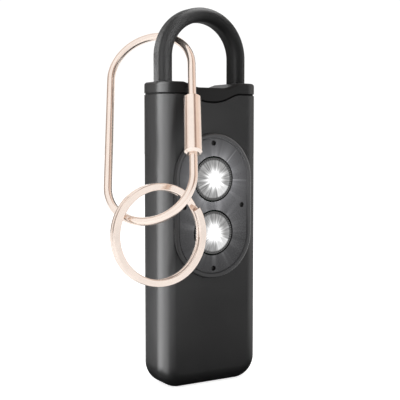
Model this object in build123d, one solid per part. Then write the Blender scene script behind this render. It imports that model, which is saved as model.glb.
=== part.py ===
"""Personal safety alarm with a pull cap, two front lamps, an oval screw link and a split ring.

Millimetres. The alarm stands upright on its flat foot: +Z runs up to the pull loop, the
lamps face -Y, and the origin is the middle of the foot.
"""
from build123d import *
from math import cos, hypot, radians, sin, sqrt
import os

# Shared values
overrun = 2.0                # how far a cutting shape runs past the face that it opens
fit_gap = 0.1                # gap between two fixed moulded pieces that sit in each other
slide_gap = 0.06             # gap round a piece that slides in a close guide
wall_lean_share = 0.5        # a face is a wall where its normal rises less than this

# Casing: a slim shell, closed at the foot, open at the mouth
case_width = 36.4
case_depth = 15.6
case_height = 93.7
case_wall = 1.5
case_edge_radius = 4.8       # round of the upright edges and of the foot's long edges
case_foot_radius = 7.5       # round of the foot's ends, seen from the front

# Wave of the seam between casing and cap
seam_gap = 0.6
seam_drop = 2.65
seam_floor_half = 3.2
seam_flat_half = 9.3
seam_floor_radius = 14.0
seam_shoulder_radius = 6.0
seam_tongue_inset = 0.35    # of the cap's tongue, from the casing's outer faces

# Pull cap
cap_height = 3.4
cap_edge_radius = 0.9
valley_drop = 1.7
valley_floor_half = 5.2
valley_flat_half = 10.1
valley_floor_radius = 6.0
valley_shoulder_radius = 3.0
plug_gap = 0.25              # gap between the cap's plug and the casing's mouth
plug_wall = 1.2
plug_reach = 3.2             # below the lowest point of the seam
plug_root = 0.6              # above the seam's flats, inside the cap

# Pull loop
loop_half_span = 13.75       # from the middle to the centre of each leg
loop_arch_height = 8.05      # from the cap's top to the centre of the arch
loop_width = 4.7
loop_depth = 6.8
loop_edge_radius = 2.1
loop_socket_depth = 2.2

# Front window
window_spacing = 17.9        # between the centres of the window's two round ends
window_post_gap = 1.27       # from the window's opening to the roots of the posts above it
bezel_radius = 14.25
bezel_inner_radius = 12.95
bezel_proud = 1.2
bezel_edge_radius = 0.55
bezel_skirt_radius = 13.5
bezel_shelf_radius = 12.0
bezel_shelf_thickness = 0.75
panel_groove = 0.4           # dark gap between bezel and panel
panel_recess = 0.45          # from the bezel's front to the panel's front
pin_hole_radius = 0.85
pin_hole_depth = 0.9
pin_hole_rise = 20.1         # of the upper and lower pin holes, from the window's middle
pin_hole_side = 10.8

# Front lamps
lamp_spacing = 17.2
lamp_hole_radius = 7.35
reflector_rim_radius = 6.85
reflector_recess = 0.1       # from the panel's front to the reflector's rim
reflector_skirt = 0.9
reflector_wall = 0.6
reflector_throat_radius = 2.95
reflector_bulge = 0.4        # of the bowl and of its back, outward and backward
lens_radius = 6.2
lens_thickness = 0.6
lens_ledge = 0.35
led_base_radius = 2.75
led_base_height = 1.0
led_dome_radius = 2.2

# Posts in the casing, screws and rear cover
post_side = 9.8
post_inset = 3.8             # from the rear cover's ends to each row of posts
post_radius = 2.2
post_shoulder_radius = 3.0
post_shoulder_height = 2.7
pilot_radius = 1.0
pilot_depth = 7.0
cover_width = 26.0
cover_foot_margin = 6.0      # from the foot to the cover's lower end
cover_top_margin = 7.7       # from the cover's upper end to the casing's mouth
cover_corner_radius = 3.0
cover_thickness = 1.8
cover_lip_depth = 1.0
cover_lip = 0.8
screw_radius = 0.95
screw_length = 6.0
screw_head_radius = 1.8
screw_head_height = 0.8
screw_hole_radius = 1.1
screw_sink_radius = 1.95
screw_cross_length = 2.2
screw_cross_width = 0.4
screw_cross_depth = 0.4
sound_slot_width = 1.2
sound_slot_pitch = 2.6
sound_slot_count = 7
sound_field_radius = 9.4

# Circuit board and what is on it
board_half_width = 12.2
board_inset = 1.6            # from each end of the rear cover
board_thickness = 1.0
board_hole_gap = 0.15
chip_size = (5.0, 1.5, 4.0)
chip_offset = (5.6, 1.0)     # from the siren's middle, across and up
chip_leg_count = 4
chip_leg_pitch = 1.2
chip_leg_size = (0.9, 0.3, 0.45)
coil_offset = (-5.6, 2.0)
coil_flange_radius = 4.5
coil_waist_radius = 2.6
coil_winding_radius = 4.1
coil_height = 4.6
coil_flange_height = 0.9
capacitor_offset = (5.8, -6.5)
capacitor_radius = 2.5
capacitor_height = 4.4

# Siren
chamber_radius = 12.0
chamber_bore_radius = 10.2
chamber_depth = 3.0
chamber_seat_radius = 11.2
chamber_seat_depth = 0.5
siren_plate_radius = 11.1
siren_plate_thickness = 0.25
siren_ceramic_radius = 7.5
siren_ceramic_thickness = 0.2

# Coin cells, tray and contacts
cell_radius = 10.0
cell_thickness = 3.2
cell_count = 2
cell_cap_radius = 8.9
cell_cap_height = 0.4
tray_wall = 1.2
tray_floor = 1.2
tray_rim = 7.8               # height of the tray's wall above the board
contact_floor_thickness = 0.4
contact_floor_length = 14.0
contact_floor_width = 7.0
contact_tail_radius = 0.9
contact_clip_thickness = 0.3
contact_clip_half_width = 3.0

# Pull contact: blade between two spring leaves, in an insulating block
blade_width = 6.0
blade_thickness = 1.0
blade_reach = 12.55          # below the lowest point of the cap's underside
blade_seat = 2.0             # into the holder under the cap
holder_length = 10.0
holder_thickness = 3.4
holder_reach = 3.4
block_length = 11.0
block_reach = 6.0            # from the block's foot to the blade's lower end
block_half_width = 4.6
block_side = 1.2
block_base = 2.0
block_depth = 7.0
leaf_width = 5.0
leaf_thickness = 0.25
leaf_touch_gap = 0.05
leaf_root_offset = 1.8       # from the blade's middle plane
leaf_tip_offset = 1.4
leaf_root_rise = 4.5
leaf_touch_rise = 8.0
leaf_tip_rise = 10.2

# Lamp button and its switch
button_radius = 3.3
button_proud = 0.5
button_flange_radius = 3.9
button_flange_thickness = 0.9
button_stem_radius = 1.4
switch_size = (5.0, 3.5, 5.0)
plunger_radius = 1.5
plunger_rise = 1.0
plunger_depth = 0.8
plunger_travel = 0.6

# Shares of the free height inside: under the cells, under the button and under the block.
# The rest lies between the button and the siren.
cell_gap_share = 0.79
button_gap_share = 0.02
block_gap_share = 0.12

# Oval screw link, hooked round the loop's left leg
wire_radius = 1.28
link_half_width = 13.56
link_half_straight = 19.6
link_offset = (-7.55, -5.9, -13.45)    # from the top of the cap, at the left leg's middle
link_tilt = (48.45, -41.9, -19.7)
link_mouth = 4.0             # gap in the wire, hidden in the sleeve
link_mouth_drop = 3.0        # from the sleeve's top to the gap
sleeve_radius = 2.7
sleeve_length = 20.0
sleeve_foot = -13.1          # of the sleeve's lower end, along the straight wire
sleeve_top_chamfer = 0.15
sleeve_foot_chamfer = 0.75
neck_drop = 0.7
neck_width = 0.3
neck_depth = 0.15

# Split ring of two flat turns
ring_radius = 14.42          # to the middle of the band
ring_band = 2.24
ring_turn_thickness = 1.25
ring_turn_gap = 0.45
ring_edge_radius = 0.35
ring_offset = (-3.1, -11.2, -33.05)    # from the link's centre
ring_tilt = (87.4, -1.4, -2.1)
ring_end_angle = 34.0        # of the front turn's free end, seen from the front
ring_jog_angle = 26.0
ring_end_margin = 2.0
ring_sample_step = 1.0       # degrees, for measuring the gap

# Levels worked out from the values above
front_face = -case_depth / 2
front_inside = front_face + case_wall
rear_face = case_depth / 2
rear_inside = rear_face - case_wall
cavity_width = case_width - 2 * case_wall
cavity_depth = case_depth - 2 * case_wall
cap_foot = case_height + seam_gap
cap_top = cap_foot + cap_height
cap_low = cap_foot - seam_drop
cover_top = case_height - cover_top_margin
cover_length = cover_top - cover_foot_margin
cover_height = (cover_top + cover_foot_margin) / 2
post_end = cover_length / 2 - post_inset
board_length = cover_length - 2 * board_inset
window_post_reach = bezel_skirt_radius + fit_gap + window_post_gap + post_shoulder_radius
window_post_rise = window_spacing / 2 + sqrt(window_post_reach**2 - post_side**2)
window_height = cover_height + post_end - window_post_rise
tray_radius = cell_radius + fit_gap + tray_wall
clip_reach = tray_radius + fit_gap + contact_clip_thickness
block_height = cap_low - blade_reach - block_reach
filled_height = tray_radius + clip_reach + 2 * button_flange_radius + 2 * chamber_radius
free_height = block_height - case_wall - filled_height
cell_height = case_wall + cell_gap_share * free_height + tray_radius
button_height = cell_height + clip_reach + button_gap_share * free_height + button_flange_radius
siren_height = block_height - block_gap_share * free_height - chamber_radius
link_centre = (link_offset[0] - loop_half_span, link_offset[1], link_offset[2] + cap_top)
ring_centre = tuple(near + far for near, far in zip(link_centre, ring_offset))
board_front = front_inside + post_shoulder_height
board_back = board_front + board_thickness
cover_inside = rear_face - cover_thickness
tray_inside = board_back + tray_floor
cells_front = tray_inside + contact_floor_thickness
cells_back = cells_front + cell_count * cell_thickness
bezel_front = front_face - bezel_proud
panel_front = bezel_front + panel_recess
panel_back = front_inside - bezel_shelf_thickness
panel_radius = bezel_inner_radius - panel_groove
rim_front = panel_front + reflector_recess
blade_plane = board_back + block_depth / 2
post_places = [(x * post_side, cover_height + z * post_end) for x in (-1, 1) for z in (-1, 1)]
lamp_places = {"upper": window_height + lamp_spacing / 2, "lower": window_height - lamp_spacing / 2}


def deep(sketch, front, back):
    """Solid between two depths, from a sketch drawn in the front view."""
    return extrude(Plane.XZ.offset(-back) * sketch, back - front)


def bar(radius, front, back, x=0, z=0):
    """Round bar that runs along the depth."""
    return deep(Pos(x, z) * Circle(radius), front, back)


def turned(points, x, z):
    """Piece turned about a line along the depth, from (radius, depth) points."""
    return Pos(x, 0, z) * revolve(make_face(Polyline(*points, close=True)), Axis.Y)


def pill(spacing, radius):
    """Upright outline with two round ends."""
    return Rot(0, 0, 90) * SlotCenterToCenter(spacing, 2 * radius)


def group(solids):
    """Separate solids kept together as one node."""
    return Compound(children=list(solids))


def dipped_line(level, drop, floor_half, flat_half, floor_radius, shoulder_radius):
    """Front-view line that dips in the middle and is level at both sides."""
    reach = case_width / 2 + overrun
    points = [(-reach, level), (-flat_half, level), (-floor_half, level - drop)]
    points += [(floor_half, level - drop), (flat_half, level), (reach, level)]
    return FilletPolyline(*points, radius=[shoulder_radius, floor_radius, floor_radius, shoulder_radius])


def seam_line(level):
    return dipped_line(
        level, seam_drop, seam_floor_half, seam_flat_half, seam_floor_radius, seam_shoulder_radius
    )


def level_line(level):
    reach = case_width / 2 + overrun
    return Line((-reach, level), (reach, level))


def band_between(lower, upper):
    """Solid between two front-view lines, through the whole depth."""
    sides = [Line(lower @ 0, upper @ 0), Line(lower @ 1, upper @ 1)]
    return deep(make_face([lower, upper] + sides), front_face - overrun, rear_face + overrun)


def case_block(width, depth, height, edge, foot):
    """Upright block with round upright edges and a round foot."""
    block = Pos(0, 0, height / 2) * Box(width, depth, height)
    block = fillet(block.edges().filter_by(Axis.Y).group_by(Axis.Z)[0], foot)
    faces = block.faces().sort_by(Axis.Y)
    outline = [line for face in (faces[0], faces[-1]) for line in face.edges().sort_by(Axis.Z)[:-1]]
    return fillet(outline, edge)


def make_casing():
    shell = case_block(case_width, case_depth, case_height, case_edge_radius, case_foot_radius)
    hollow = case_block(
        cavity_width,
        cavity_depth,
        case_height,
        case_edge_radius - case_wall,
        case_foot_radius - case_wall,
    )
    shell -= Pos(0, 0, case_wall) * hollow
    shell -= band_between(seam_line(case_height), level_line(case_height + overrun))
    window = Pos(0, window_height) * pill(window_spacing, bezel_skirt_radius + fit_gap)
    shell -= deep(window, front_face - overrun, front_inside + overrun)
    recess = RectangleRounded(
        cover_width + 2 * fit_gap, cover_length + 2 * fit_gap, cover_corner_radius + fit_gap
    )
    opening = RectangleRounded(
        cover_width - 2 * cover_lip + 2 * fit_gap,
        cover_length - 2 * cover_lip + 2 * fit_gap,
        cover_corner_radius - cover_lip + fit_gap,
    )
    shell -= deep(Pos(0, cover_height) * recess, rear_face - cover_lip_depth, rear_face + overrun)
    shell -= deep(Pos(0, cover_height) * opening, rear_inside - overrun, rear_face + overrun)
    for x, z in post_places:
        shell += bar(post_shoulder_radius, front_inside - case_wall / 2, board_front, x, z)
        shell += bar(post_radius, front_inside - case_wall / 2, cover_inside, x, z)
    for x, z in post_places:
        shell -= bar(pilot_radius, cover_inside - pilot_depth, cover_inside + overrun, x, z)
    return shell


def make_rear_cover():
    plate = RectangleRounded(cover_width, cover_length, cover_corner_radius)
    tongue = RectangleRounded(
        cover_width - 2 * cover_lip, cover_length - 2 * cover_lip, cover_corner_radius - cover_lip
    )
    cover = deep(Pos(0, cover_height) * plate, rear_face - cover_lip_depth, rear_face)
    cover += deep(Pos(0, cover_height) * tongue, cover_inside, rear_face - cover_lip_depth)
    for x, z in post_places:
        cover -= bar(screw_hole_radius, cover_inside - overrun, rear_face + overrun, x, z)
        cover -= bar(screw_sink_radius, rear_face - cover_lip_depth, rear_face + overrun, x, z)
    cover -= bar(button_radius + slide_gap, cover_inside - overrun, rear_face + overrun, 0, button_height)
    for row in range(sound_slot_count):
        rise = (row - (sound_slot_count - 1) / 2) * sound_slot_pitch
        length = 2 * sqrt(sound_field_radius**2 - rise**2)
        slot = Pos(0, siren_height + rise) * SlotOverall(length, sound_slot_width)
        cover -= deep(slot, cover_inside - overrun, rear_face + overrun)
    return cover


def make_cover_screws():
    seat = rear_face - cover_lip_depth
    head_top = seat + screw_head_height
    for x, z in post_places:
        screw = bar(screw_head_radius, seat, head_top, x, z)
        screw += bar(screw_radius, seat - screw_length, seat, x, z)
        for length, width in (
            (screw_cross_length, screw_cross_width),
            (screw_cross_width, screw_cross_length),
        ):
            arm = Pos(x, z) * Rectangle(length, width)
            screw -= deep(arm, head_top - screw_cross_depth, head_top + overrun)
        yield screw


def case_plan(inset):
    """Outline of the casing seen from above, or one inside it."""
    return RectangleRounded(case_width - 2 * inset, case_depth - 2 * inset, case_edge_radius - inset)


def make_seam_tongue():
    """Tongue under the cap's edge that follows the wave and keeps light out of the seam."""
    tongue = Pos(0, 0, cap_low - seam_gap) * extrude(
        case_plan(seam_tongue_inset), cap_foot + plug_root - cap_low + seam_gap
    )
    return tongue & band_between(seam_line(case_height + fit_gap), level_line(cap_foot + plug_root))


def make_pull_cap():
    top = dipped_line(
        cap_top,
        valley_drop,
        valley_floor_half,
        valley_flat_half,
        valley_floor_radius,
        valley_shoulder_radius,
    )
    block = Pos(0, 0, cap_low) * extrude(case_plan(0), cap_top - cap_low)
    cap = block & band_between(seam_line(cap_foot), top)
    walls = [face for face in cap.faces() if abs(face.normal_at().Z) < wall_lean_share]
    rims = [edge for wall in walls for edge in wall.edges().filter_by(Axis.Z, reverse=True)]
    upper = [edge for edge in rims if edge.center().Z > cap_foot + plug_root]
    cap = fillet(upper, cap_edge_radius) + make_seam_tongue()
    plug_width = cavity_width - 2 * plug_gap
    plug_depth = cavity_depth - 2 * plug_gap
    plug_corner = case_edge_radius - case_wall - plug_gap
    collar = RectangleRounded(plug_width, plug_depth, plug_corner)
    collar -= RectangleRounded(
        plug_width - 2 * plug_wall, plug_depth - 2 * plug_wall, plug_corner - plug_wall
    )
    foot = cap_low - plug_reach
    cap += Pos(0, 0, foot) * extrude(collar, cap_foot + plug_root - foot)
    holder_foot = cap_low - holder_reach
    holder = Pos(0, blade_plane) * Rectangle(holder_length, holder_thickness)
    cap += Pos(0, 0, holder_foot) * extrude(holder, cap_foot - holder_foot)
    slot = Pos(0, blade_plane) * Rectangle(blade_width + 2 * slide_gap, blade_thickness + 2 * slide_gap)
    slot_foot = holder_foot - overrun
    cap -= Pos(0, 0, slot_foot) * extrude(slot, holder_foot + blade_seat - slot_foot)
    socket = RectangleRounded(
        loop_width + 2 * slide_gap, loop_depth + 2 * slide_gap, loop_edge_radius + slide_gap
    )
    for side in (-1, 1):
        place = Pos(side * loop_half_span, 0, cap_top - loop_socket_depth)
        cap -= place * extrude(socket, loop_socket_depth + overrun)
    return cap


def make_pull_loop():
    foot = cap_top - loop_socket_depth
    crown = cap_top + loop_arch_height
    legs = [
        Line((-loop_half_span, foot), (-loop_half_span, crown)),
        CenterArc((0, crown), loop_half_span, 180, -180),
        Line((loop_half_span, crown), (loop_half_span, foot)),
    ]
    path = Plane.XZ * Curve(legs)
    section = Pos(-loop_half_span, 0, foot) * RectangleRounded(loop_width, loop_depth, loop_edge_radius)
    return sweep(section, path)


def make_pull_blade():
    top = cap_low - holder_reach + blade_seat
    blade = Pos(0, blade_plane) * Rectangle(blade_width, blade_thickness)
    return Pos(0, 0, cap_low - blade_reach) * extrude(blade, top - cap_low + blade_reach)


def make_window_bezel():
    place = Pos(0, window_height)
    flange = deep(place * pill(window_spacing, bezel_radius), bezel_front, front_face)
    flange = fillet(flange.edges().group_by(Axis.Y)[0], bezel_edge_radius)
    bezel = flange + deep(
        place * pill(window_spacing, bezel_skirt_radius), front_face, front_inside
    )
    bezel -= deep(place * pill(window_spacing, bezel_inner_radius), bezel_front - overrun, panel_back)
    bezel -= deep(
        place * pill(window_spacing, bezel_shelf_radius), panel_back - overrun, front_inside + overrun
    )
    return bezel


def make_window_panel():
    panel = deep(Pos(0, window_height) * pill(window_spacing, panel_radius), panel_front, panel_back)
    for z in lamp_places.values():
        panel -= bar(lamp_hole_radius, panel_front - overrun, panel_back + overrun, 0, z)
    ends = [(0, window_height + pin_hole_rise), (0, window_height - pin_hole_rise)]
    sides = [(-pin_hole_side, window_height), (pin_hole_side, window_height)]
    for x, z in ends + sides:
        panel -= bar(pin_hole_radius, panel_front - overrun, panel_front + pin_hole_depth, x, z)
    return panel


def bulged(start, end):
    """Arc between two (radius, depth) points that swells outward and backward."""
    middle = [(one + other) / 2 + reflector_bulge for one, other in zip(start, end)]
    return ThreePointArc(start, tuple(middle), end)


def make_reflector(z):
    cup_radius = lens_radius + slide_gap
    seat = rim_front + lens_thickness
    ledge_radius = lens_radius - lens_ledge
    skirt = rim_front + reflector_skirt
    rim = Polyline(
        (ledge_radius, seat),
        (cup_radius, seat),
        (cup_radius, rim_front),
        (reflector_rim_radius, rim_front),
        (reflector_rim_radius, skirt),
    )
    throat_inner = (reflector_throat_radius, board_front)
    throat_outer = (reflector_throat_radius + reflector_wall, board_front)
    back = bulged(rim @ 1, throat_outer)
    bowl = bulged(throat_inner, rim @ 0)
    profile = make_face([rim, back, Line(throat_outer, throat_inner), bowl])
    return Pos(0, 0, z) * revolve(profile, Axis.Y)


def make_lens(z):
    return bar(lens_radius, rim_front, rim_front + lens_thickness, 0, z)


def make_led(z):
    base = bar(led_base_radius, board_front - led_base_height, board_front, 0, z)
    dome = Pos(0, board_front - led_base_height, z) * Sphere(led_dome_radius)
    keep = bar(led_base_radius, board_front - led_base_height - led_dome_radius, board_front, 0, z)
    return base + (dome & keep)


def make_circuit_board():
    outline = Rectangle(2 * board_half_width, board_length)
    board = deep(Pos(0, cover_height) * outline, board_front, board_back)
    for x, z in post_places:
        board -= bar(post_radius + board_hole_gap, board_front - overrun, board_back + overrun, x, z)
    return board


def on_siren(offset):
    """Place in the front view, from an offset across and up from the siren's middle."""
    return offset[0], siren_height + offset[1]


def make_driver_chip():
    length, height, width = chip_size
    leg_length, leg_height, leg_width = chip_leg_size
    x, z = on_siren(chip_offset)
    chip = deep(Pos(x, z) * Rectangle(length, width), board_back + leg_height / 2, board_back + height)
    for side in (-1, 1):
        for row in range(chip_leg_count):
            rise = (row - (chip_leg_count - 1) / 2) * chip_leg_pitch
            place = Pos(x + rise, z + side * (width + leg_length) / 2)
            leg = place * Rectangle(leg_width, leg_length)
            chip += deep(leg, board_back, board_back + leg_height)
            foot = Pos(x + rise, z + side * width / 2) * Rectangle(leg_width, leg_width)
            chip += deep(foot, board_back, board_back + leg_height)
    return chip


def make_coil_core():
    top = board_back + coil_height
    points = [
        (0, board_back),
        (coil_flange_radius, board_back),
        (coil_flange_radius, board_back + coil_flange_height),
        (coil_waist_radius, board_back + coil_flange_height),
        (coil_waist_radius, top - coil_flange_height),
        (coil_flange_radius, top - coil_flange_height),
        (coil_flange_radius, top),
        (0, top),
    ]
    return turned(points, *on_siren(coil_offset))


def make_coil_winding():
    x, z = on_siren(coil_offset)
    front = board_back + coil_flange_height
    back = board_back + coil_height - coil_flange_height
    return bar(coil_winding_radius, front, back, x, z) - bar(coil_waist_radius, front, back, x, z)


def make_capacitor():
    x, z = on_siren(capacitor_offset)
    return bar(capacitor_radius, board_back, board_back + capacitor_height, x, z)


def make_siren_chamber():
    front = cover_inside - chamber_depth
    ring = bar(chamber_radius, front, cover_inside, 0, siren_height)
    ring -= bar(chamber_bore_radius, front - overrun, cover_inside + overrun, 0, siren_height)
    ring -= bar(chamber_seat_radius, front - overrun, front + chamber_seat_depth, 0, siren_height)
    return ring


def make_siren_plate():
    back = cover_inside - chamber_depth + chamber_seat_depth
    return bar(siren_plate_radius, back - siren_plate_thickness, back, 0, siren_height)


def make_siren_ceramic():
    back = cover_inside - chamber_depth + chamber_seat_depth - siren_plate_thickness
    return bar(siren_ceramic_radius, back - siren_ceramic_thickness, back, 0, siren_height)


def make_battery_tray():
    bore = cell_radius + fit_gap
    tray = bar(tray_radius, board_back, board_back + tray_rim, 0, cell_height)
    tray -= bar(bore, tray_inside, board_back + tray_rim + overrun, 0, cell_height)
    tray -= bar(contact_tail_radius + fit_gap, board_back - overrun, tray_inside + overrun, 0, cell_height)
    return tray


def make_coin_cells():
    for place in range(cell_count):
        front = cells_front + place * cell_thickness
        can = bar(cell_radius, front + cell_cap_height, front + cell_thickness, 0, cell_height)
        yield can + bar(cell_cap_radius, front, front + cell_cap_height, 0, cell_height)


def make_floor_contact():
    pad = Pos(0, cell_height) * SlotOverall(contact_floor_length, contact_floor_width)
    tail = bar(contact_tail_radius, board_back, tray_inside, 0, cell_height)
    return deep(pad, tray_inside, cells_front) + tail


def make_clip_contact():
    foot = cell_height + tray_radius + fit_gap
    clip_top = cells_back + contact_clip_thickness
    width = 2 * contact_clip_half_width
    length = foot - cell_height + contact_clip_thickness
    bridge = deep(Pos(0, cell_height + length / 2) * Rectangle(width, length), cells_back, clip_top)
    leg_middle = foot + contact_clip_thickness / 2
    leg = deep(Pos(0, leg_middle) * Rectangle(width, contact_clip_thickness), board_back, clip_top)
    return bridge + leg


def leaf_outline(side):
    """Centre line of one spring leaf, seen from the side as (depth, height)."""
    touch_offset = blade_thickness / 2 + leaf_touch_gap + leaf_thickness / 2
    points = [
        (leaf_root_offset, 0),
        (leaf_root_offset, leaf_root_rise),
        (touch_offset, leaf_touch_rise),
        (leaf_tip_offset, leaf_tip_rise),
    ]
    return Polyline(*[(blade_plane + side * out, block_height + rise) for out, rise in points])


def make_contact_leaves():
    for side in (-1, 1):
        strip = trace(leaf_outline(side), leaf_thickness)
        yield extrude(Plane.YZ * strip, leaf_width / 2, both=True)


def make_contact_block():
    middle = board_back + block_depth / 2
    base = Pos(0, middle) * Rectangle(2 * block_half_width, block_depth)
    block = Pos(0, 0, block_height) * extrude(base, block_base)
    for side in (-1, 1):
        wall = Pos(side * (block_half_width - block_side / 2), middle) * Rectangle(block_side, block_depth)
        block += Pos(0, 0, block_height) * extrude(wall, block_length)
        slot = Pos(0, blade_plane + side * leaf_root_offset) * Rectangle(
            leaf_width + 2 * slide_gap, leaf_thickness + 2 * slide_gap
        )
        block -= Pos(0, 0, block_height - overrun) * extrude(slot, block_base + 2 * overrun)
    return block


def make_lamp_button():
    flange_back = cover_inside - fit_gap
    flange_front = flange_back - button_flange_thickness
    stem_front = board_back + switch_size[1] + plunger_rise
    button = bar(button_radius, flange_front, rear_face + button_proud, 0, button_height)
    button += bar(button_flange_radius, flange_front, flange_back, 0, button_height)
    return button + bar(button_stem_radius, stem_front, flange_front, 0, button_height)


def make_switch_body():
    length, height, width = switch_size
    top = board_back + height
    body = deep(Pos(0, button_height) * Rectangle(length, width), board_back, top)
    pocket = plunger_depth + plunger_travel
    return body - bar(plunger_radius + slide_gap, top - pocket, top + overrun, 0, button_height)


def make_switch_plunger():
    top = board_back + switch_size[1]
    return bar(plunger_radius, top - plunger_depth, top + plunger_rise, 0, button_height)


def placed(centre, tilt):
    return Pos(*centre) * Rot(*tilt)


def make_link_bow():
    """Wire oval with a gap inside the sleeve, drawn flat and then set in its place."""
    side = link_half_width
    end = link_half_straight
    mouth_top = sleeve_foot + sleeve_length - link_mouth_drop
    mouth_foot = mouth_top - link_mouth
    path = Curve(
        [
            Line((side, mouth_top), (side, end)),
            CenterArc((0, end), side, 0, 180),
            Line((-side, end), (-side, -end)),
            CenterArc((0, -end), side, 180, 180),
            Line((side, -end), (side, mouth_foot)),
        ]
    )
    start = Plane(origin=(side, mouth_top, 0), z_dir=(0, 1, 0))
    bow = sweep(start * Circle(wire_radius), path)
    neck = Plane(origin=(side, sleeve_foot - neck_drop, 0), z_dir=(0, 1, 0))
    ring = Circle(wire_radius + overrun) - Circle(wire_radius - neck_depth)
    bow -= neck * extrude(ring, neck_width / 2, both=True)
    return placed(link_centre, link_tilt) * bow


def make_link_sleeve():
    seat = Plane(origin=(link_half_width, sleeve_foot, 0), z_dir=(0, 1, 0))
    tube = extrude(Circle(sleeve_radius), sleeve_length)
    tube = chamfer(tube.edges().sort_by(Axis.Z)[-1], sleeve_top_chamfer)
    tube = chamfer(tube.edges().sort_by(Axis.Z)[0], sleeve_foot_chamfer)
    bore = extrude(Circle(wire_radius + slide_gap), sleeve_length)
    return placed(link_centre, link_tilt) * (seat * (tube - bore))


def ring_section():
    """Cross-section of the band, standing on the +X side of the ring's axis."""
    band = RectangleRounded(ring_band, ring_turn_thickness, ring_edge_radius)
    return Plane(origin=(ring_radius, 0, 0), x_dir=(1, 0, 0), z_dir=(0, -1, 0)) * band


def make_split_ring():
    """Two flat turns of one band, joined by a slanted stretch."""
    step = (ring_turn_thickness + ring_turn_gap) / 2
    turn_angle = 360 - ring_jog_angle - ring_end_margin
    jog_end = ring_end_angle + ring_jog_angle
    front = Rot(0, 0, jog_end) * Pos(0, 0, step) * revolve(ring_section(), Axis.Z, turn_angle)
    back_start = ring_end_angle - turn_angle
    back = Rot(0, 0, back_start) * Pos(0, 0, -step) * revolve(ring_section(), Axis.Z, turn_angle)
    jog_path = Helix(2 * step * 360 / ring_jog_angle, 2 * step, ring_radius)
    jog = sweep(ring_section(), jog_path, normal=(0, 0, 1))
    jog = Rot(0, 0, ring_end_angle) * Pos(0, 0, -step) * jog
    return placed(ring_centre, ring_tilt) * (front + jog + back)


def least_ring_gap():
    """Least gap between the band's two turns, measured on points of its centre line."""
    step = (ring_turn_thickness + ring_turn_gap) / 2
    turn_angle = 360 - ring_jog_angle - ring_end_margin
    total = 2 * turn_angle + ring_jog_angle
    points = []
    for number in range(int(total / ring_sample_step) + 1):
        along = number * ring_sample_step
        slant = min(max((along - turn_angle) / ring_jog_angle, 0), 1)
        angle = radians(along)
        points.append((ring_radius * cos(angle), ring_radius * sin(angle), step - 2 * step * slant, along))
    gaps = [
        hypot(a[0] - b[0], a[1] - b[1], a[2] - b[2])
        for a in points
        for b in points
        if b[3] - a[3] > 180
    ]
    return min(gaps) - ring_turn_thickness


nodes = {
    "casing": make_casing(),
    "rear_cover": make_rear_cover(),
    "cover_screws": group(make_cover_screws()),
    "pull_cap": make_pull_cap(),
    "pull_loop": make_pull_loop(),
    "pull_blade": make_pull_blade(),
    "window_bezel": make_window_bezel(),
    "window_panel": make_window_panel(),
    "circuit_board": make_circuit_board(),
    "driver_chip": make_driver_chip(),
    "coil_core": make_coil_core(),
    "coil_winding": make_coil_winding(),
    "board_capacitor": make_capacitor(),
    "siren_chamber": make_siren_chamber(),
    "siren_plate": make_siren_plate(),
    "siren_ceramic": make_siren_ceramic(),
    "battery_tray": make_battery_tray(),
    "coin_cells": group(make_coin_cells()),
    "cell_floor_contact": make_floor_contact(),
    "cell_clip_contact": make_clip_contact(),
    "contact_block": make_contact_block(),
    "contact_leaves": group(make_contact_leaves()),
    "lamp_button": make_lamp_button(),
    "switch_body": make_switch_body(),
    "switch_plunger": make_switch_plunger(),
    "link_bow": make_link_bow(),
    "link_sleeve": make_link_sleeve(),
    "split_ring": make_split_ring(),
}
for name, height in lamp_places.items():
    nodes["lamp_reflector_" + name] = make_reflector(height)
    nodes["lamp_lens_" + name] = make_lens(height)
    nodes["lamp_led_" + name] = make_led(height)

os.makedirs("parts", exist_ok=True)
for name, solid in nodes.items():
    export_step(solid, "parts/" + name + ".step")
print("least gap between the split ring's turns:", round(least_ring_gap(), 3), "mm")
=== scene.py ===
"""Personal safety alarm: finishes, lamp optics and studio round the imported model.

Metres. The alarm stands on its foot, +Z runs up to the pull loop and the lamps face -Y.
"""

from math import cos, pi, radians

import bmesh
import bpy
from bpy.props import FloatProperty, FloatVectorProperty, IntProperty, PointerProperty
from bpy.types import Operator, Panel, PropertyGroup
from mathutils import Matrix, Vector


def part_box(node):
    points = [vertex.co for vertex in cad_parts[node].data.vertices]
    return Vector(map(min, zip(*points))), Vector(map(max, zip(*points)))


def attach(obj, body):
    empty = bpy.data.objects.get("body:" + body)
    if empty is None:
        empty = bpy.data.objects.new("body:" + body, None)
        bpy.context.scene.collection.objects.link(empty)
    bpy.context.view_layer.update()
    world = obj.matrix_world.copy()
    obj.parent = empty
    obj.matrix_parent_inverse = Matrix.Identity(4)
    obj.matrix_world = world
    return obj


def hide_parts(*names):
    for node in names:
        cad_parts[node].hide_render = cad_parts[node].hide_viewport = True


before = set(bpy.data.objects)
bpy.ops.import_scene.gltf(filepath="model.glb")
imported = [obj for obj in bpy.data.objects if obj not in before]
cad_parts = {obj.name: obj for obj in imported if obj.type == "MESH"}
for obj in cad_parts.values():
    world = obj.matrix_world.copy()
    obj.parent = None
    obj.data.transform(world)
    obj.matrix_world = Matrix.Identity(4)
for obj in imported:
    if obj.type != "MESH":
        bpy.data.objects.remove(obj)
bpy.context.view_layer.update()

bl_info = {
    "name": "Personal safety alarm",
    "version": (1, 0, 0),
    "blender": (4, 5, 0),
    "location": "View3D > Sidebar > Alarm",
    "description": "Finishes, lamp optics and studio of a personal safety alarm",
    "category": "Object",
}

PHOTO_SIDE = 400                 # pixels of the square picture
SENSOR_WIDTH = 36.0              # millimetres

LAMPS = ("upper", "lower")
CASE_EDGE_RADIUS = 0.0048        # of the casing's upright edges, as in the CAD model


# Sizes and colours that a user would change


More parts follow.
